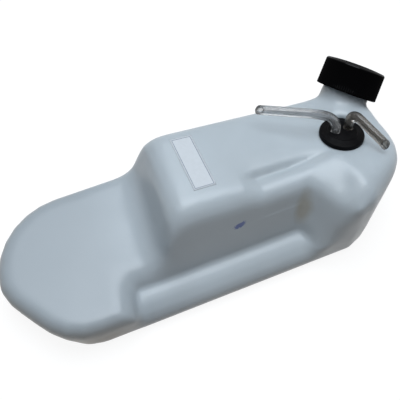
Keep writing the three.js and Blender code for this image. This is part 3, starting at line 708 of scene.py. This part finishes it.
# %% Black plastic and rubber
cap_finish = Finish(
    "glossy_black_plastic", IOR=1.5, Specular_IOR_Level=0, Coat_Roughness=0.05
)
cap_offset = cap_finish.add("VectorMath", {"operation": "SUBTRACT"}, {0: cap_finish.place(), 1: neck_rim})
cap_level = cap_finish.add("VectorMath", {"operation": "DOT_PRODUCT"}, {0: cap_offset, 1: neck_axis}, 1)
rim_level = 17.7
off_rim = cap_finish.add("Math", {"operation": "ABSOLUTE"}, {0: cap_level * 1000 - rim_level})
handled = cap_finish.ramp(1 - 1.6 * off_rim, 0, 0.8)
cap_finish.vary("Coat Weight", 0.03 + 0.35 * handled)
cap_finish.vary("Base Color", cap_finish.blend(
    cap_finish.noise(40, 3), (0.0008, 0.0008, 0.001, 1), (0.002, 0.002, 0.0024, 1)
))
cap_finish.vary("Roughness", 0.22 + 0.14 * cap_finish.noise(120, 4))
cap_finish.bump(cap_finish.noise(700, 2), 0.08, 0.0001)
cover(cap_finish, cap)

rubber_finish = Finish("black_rubber", IOR=1.5, Specular_IOR_Level=0.06)
dust = rubber_finish.ramp(rubber_finish.noise(260, 4), 0.5, 0.8)
rubber_finish.vary("Base Color", rubber_finish.blend(
    dust, (0.0015, 0.0015, 0.002, 1), (0.004, 0.004, 0.0045, 1)
))
rubber_finish.vary("Roughness", 0.36 + 0.25 * rubber_finish.noise(300, 3))
rubber_finish.bump(rubber_finish.noise(1400, 2), 0.15, 0.0001)
cover(rubber_finish, grommet, frame["nodes"]["cap_gasket"], frame["nodes"]["vent_valve"])

# %% [markdown]
# The hoses are clear vinyl. Transmission through real walls does most of the work. Their colour is painted
# dark where the wall is seen edge on and near a cut end, as painted shade, and slow noise clouds it. Fuel has
# stained the return hose brown.

# %% Clear vinyl
def vinyl(name, clear, stained, edge, route=None):
    """Clear vinyl. It casts faint shadows, and its colour has painted shade where the wall is seen edge on and
    near the far end's cut.
    """
    finish = Finish(name, IOR=1.42, Transmission_Weight=0.93)
    # Painted shade where the wall is seen edge on.
    dark = finish.ramp(finish.add("LayerWeight", {}, {"Blend": 0.35}, "Facing"), 0.3, 0.6)
    if route:
        end, before = Vector(route[-1]) * mm, Vector(route[-2]) * mm
        facing = ((end - before).normalized() + Vector(cut_slant)).normalized()
        offset = finish.add("VectorMath", {"operation": "SUBTRACT"}, {0: finish.place(), 1: end})
        past = finish.add("VectorMath", {"operation": "DOT_PRODUCT"}, {0: offset, 1: facing}, 1)
        # Painted shade in the last few millimetres before the cut.
        cut = finish.ramp(past * 500 + 1.6, 0, 0.6)
        dark = finish.add("Math", {"operation": "MAXIMUM"}, {0: dark, 1: cut})
    tint = finish.blend(finish.noise(150, 2), clear, stained)
    # Where the painted shade is full, the colour turns to the edge colour.
    finish.vary("Base Color", finish.blend(dark, tint, edge))
    finish.vary("Roughness", 0.12 + 0.1 * finish.noise(90, 2))
    in_shadow = Value(finish, finish.tree.nodes.new("ShaderNodeLightPath").outputs["Is Shadow Ray"])
    finish.vary("Alpha", 0.9 - 0.7 * in_shadow)
    return finish


# The last colour is the painted shade of the hoses' edges and cut ends.
grey, brown, painted_edge_shade = (0.68, 0.7, 0.72, 1), (0.17, 0.15, 0.13, 1), (0.025, 0.025, 0.025, 1)
clean_vinyl = vinyl("clear_vinyl", grey, (0.4, 0.4, 0.4, 1), painted_edge_shade, supply_points)
brown_vinyl = vinyl("stained_vinyl", (0.27, 0.25, 0.22, 1), brown, painted_edge_shade, return_points)
inner_vinyl = vinyl("fuel_vinyl", (0.5, 0.45, 0.35, 1), brown, painted_edge_shade)
cover(clean_vinyl, long_hose)
cover(brown_vinyl, short_hose)
cover(inner_vinyl, pickup, return_inside)

# %% [markdown]
# The sticker's paper is bright and dull, with a thin dark line just inside its edge. The line is measured
# from the sheet's own map, so that it stays parallel to the edges.

# %% Paper
paper_finish = Finish("label_paper", IOR=1.45)
label_uv = paper_finish.add("UVMap", {}, {})
label_axes = paper_finish.tree.nodes.new("ShaderNodeSeparateXYZ")
paper_finish.join(label_axes.inputs[0], label_uv)


def from_edge(output, size):
    """Distance in metres from the nearer edge, along one way of the sheet."""
    share = Value(paper_finish, label_axes.outputs[output])
    middle = paper_finish.add("Math", {"operation": "ABSOLUTE"}, {0: share - 0.5})
    return (0.5 - middle) * size


nearest = paper_finish.add(
    "Math", {"operation": "MINIMUM"}, {0: from_edge(0, label_width), 1: from_edge(1, label_length)}
)
border_inset = 1.1 * mm
border_half = 0.17 * mm
off_border = paper_finish.add("Math", {"operation": "ABSOLUTE"}, {0: nearest - border_inset})
printed = paper_finish.add("Math", {"operation": "LESS_THAN"}, {0: off_border, 1: border_half})
fibres = paper_finish.noise(500, 4)
paper_colour = paper_finish.blend(fibres, (0.62, 0.65, 0.68, 1), (0.56, 0.59, 0.61, 1))
paper_finish.vary("Base Color", paper_finish.blend(printed, paper_colour, (0.16, 0.2, 0.26, 1)))
paper_finish.vary("Roughness", 0.5 + 0.2 * paper_finish.noise(200, 3))
paper_finish.bump(fibres, 0.1, 0.0001)
cover(paper_finish, label)

# %% [markdown]
# Inside the tank are three more finishes: matted wool, off-white nylon and plated steel.

# %% Felt, nylon and steel
felt_finish = Finish("wool_felt", Sheen_Weight=0.4)
fuzz = felt_finish.noise(1500, 5, 0.7)
felt_finish.vary("Base Color", felt_finish.blend(fuzz, (0.5, 0.45, 0.35, 1), (0.72, 0.67, 0.55, 1)))
felt_finish.vary("Roughness", 0.85 + 0.15 * fuzz)
felt_finish.bump(fuzz, 0.7, 0.0004)
cover(felt_finish, felt)

nylon_finish = Finish("off_white_nylon", IOR=1.53)
nylon_finish.vary("Base Color", nylon_finish.blend(
    nylon_finish.noise(90, 2), (0.8, 0.78, 0.7, 1), (0.72, 0.7, 0.62, 1)
))
nylon_finish.vary("Roughness", 0.4 + 0.15 * nylon_finish.noise(200, 2))
cover(nylon_finish, frame["nodes"]["filter_core"])

steel_finish = Finish("plated_steel", Metallic=1.0)
steel_finish.vary("Base Color", steel_finish.blend(
    steel_finish.noise(130, 3), (0.55, 0.56, 0.57, 1), (0.42, 0.42, 0.42, 1)
))
steel_finish.vary("Roughness", 0.25 + 0.25 * steel_finish.noise(300, 4))
steel_finish.bump(steel_finish.noise(900, 3), 0.1, 0.0001)
cover(steel_finish, frame["nodes"]["filter_weight"], frame["nodes"]["hose_clip"])

# %% [markdown]
# The studio is plain: one broad soft lamp overhead, a small weak one for sparkle, a dim even fill all round,
# and a pale floor. Little light comes from the sides, so the walls are darker than the roof.

# %% Studio lamps
lamps_aim = Vector((0, 0, 0.03))


def area_lamp(name, place, size, power, colour):
    lamp_data = bpy.data.lights.new(name, "AREA")
    lamp_data.shape = "DISK"
    lamp_data.size = size
    lamp_data.energy = power
    lamp_data.color = colour
    lamp = bpy.data.objects.new(name, lamp_data)
    lamp.location = place
    lamp.rotation_euler = (lamps_aim - Vector(place)).to_track_quat("-Z", "Y").to_euler()
    bpy.context.scene.collection.objects.link(lamp)


area_lamp("overhead", (0.15, 0.25, 1.2), size=1.0, power=12.5, colour=(0.92, 0.99, 1.06))
area_lamp("small", (-0.1, -0.1, 1.2), size=0.12, power=0.5, colour=(1, 1, 1))

# %% [markdown]
# The floor shows white to the camera, in gloss and in glass, and keeps most of a soft shadow. To the light
# that comes off it onto the part it is a dim brown, which darkens the part's foot.

# %% Floor
floor_work = bmesh.new()
bmesh.ops.create_circle(floor_work, cap_ends=True, segments=96, radius=3)
floor_mesh = bpy.data.meshes.new("floor")
floor_work.to_mesh(floor_mesh)
floor_work.free()
floor = show("floor", floor_mesh)
floor.location.z = -0.2 * mm


def shown_rays(finish):
    """1 for rays that show the background itself: to the camera, in gloss and through glass."""
    rays = finish.tree.nodes.new("ShaderNodeLightPath")
    kinds = [Value(finish, rays.outputs[f"Is {kind} Ray"]) for kind in ("Camera", "Glossy", "Transmission")]
    first = finish.add("Math", {"operation": "MAXIMUM"}, {0: kinds[0], 1: kinds[1]})
    return finish.add("Math", {"operation": "MAXIMUM"}, {0: first, 1: kinds[2]})


floor_finish = Finish("pale_floor", Roughness=0.9)
shown = shown_rays(floor_finish)
floor_finish.vary("Base Color", floor_finish.blend(shown, (0.18, 0.14, 0.1, 1), (0.95, 0.95, 0.95, 1)))
glow = floor_finish.tree.nodes.new("ShaderNodeEmission")
glow.inputs["Strength"].default_value = 1.06
floor_choice = floor_finish.tree.nodes.new("ShaderNodeMixShader")
floor_finish.join(floor_choice.inputs[0], shown * 0.85)
floor_finish.tree.links.new(floor_finish.shader.outputs[0], floor_choice.inputs[1])
floor_finish.tree.links.new(glow.outputs[0], floor_choice.inputs[2])
floor_finish.tree.links.new(
    floor_choice.outputs[0], floor_finish.tree.nodes["Material Output"].inputs["Surface"]
)
cover(floor_finish, floor)

# %% [markdown]
# The world does what the floor does: it lights the part dimly, and shows white to the camera and in gloss
# and glass. Each kind of ray swaps the dim fill for the white.

# %% World
world = bpy.data.worlds.new("studio")
world.use_nodes = True
bpy.context.scene.world = world
nodes = world.node_tree.nodes
links = world.node_tree.links
fill_light = nodes["Background"]
fill_light.inputs["Color"].default_value = (0.92, 0.98, 1.08, 1)
fill_light.inputs["Strength"].default_value = 0.23
white_light = nodes.new("ShaderNodeBackground")
white_light.inputs["Strength"].default_value = 1.04
rays = nodes.new("ShaderNodeLightPath")
choice = fill_light
for kind in ("Camera", "Glossy", "Transmission"):
    swap = nodes.new("ShaderNodeMixShader")
    links.new(rays.outputs[f"Is {kind} Ray"], swap.inputs[0])
    links.new(choice.outputs[0], swap.inputs[1])
    links.new(white_light.outputs[0], swap.inputs[2])
    choice = swap
links.new(choice.outputs[0], nodes["World Output"].inputs["Surface"])

bpy.context.scene.view_settings.view_transform = "Standard"
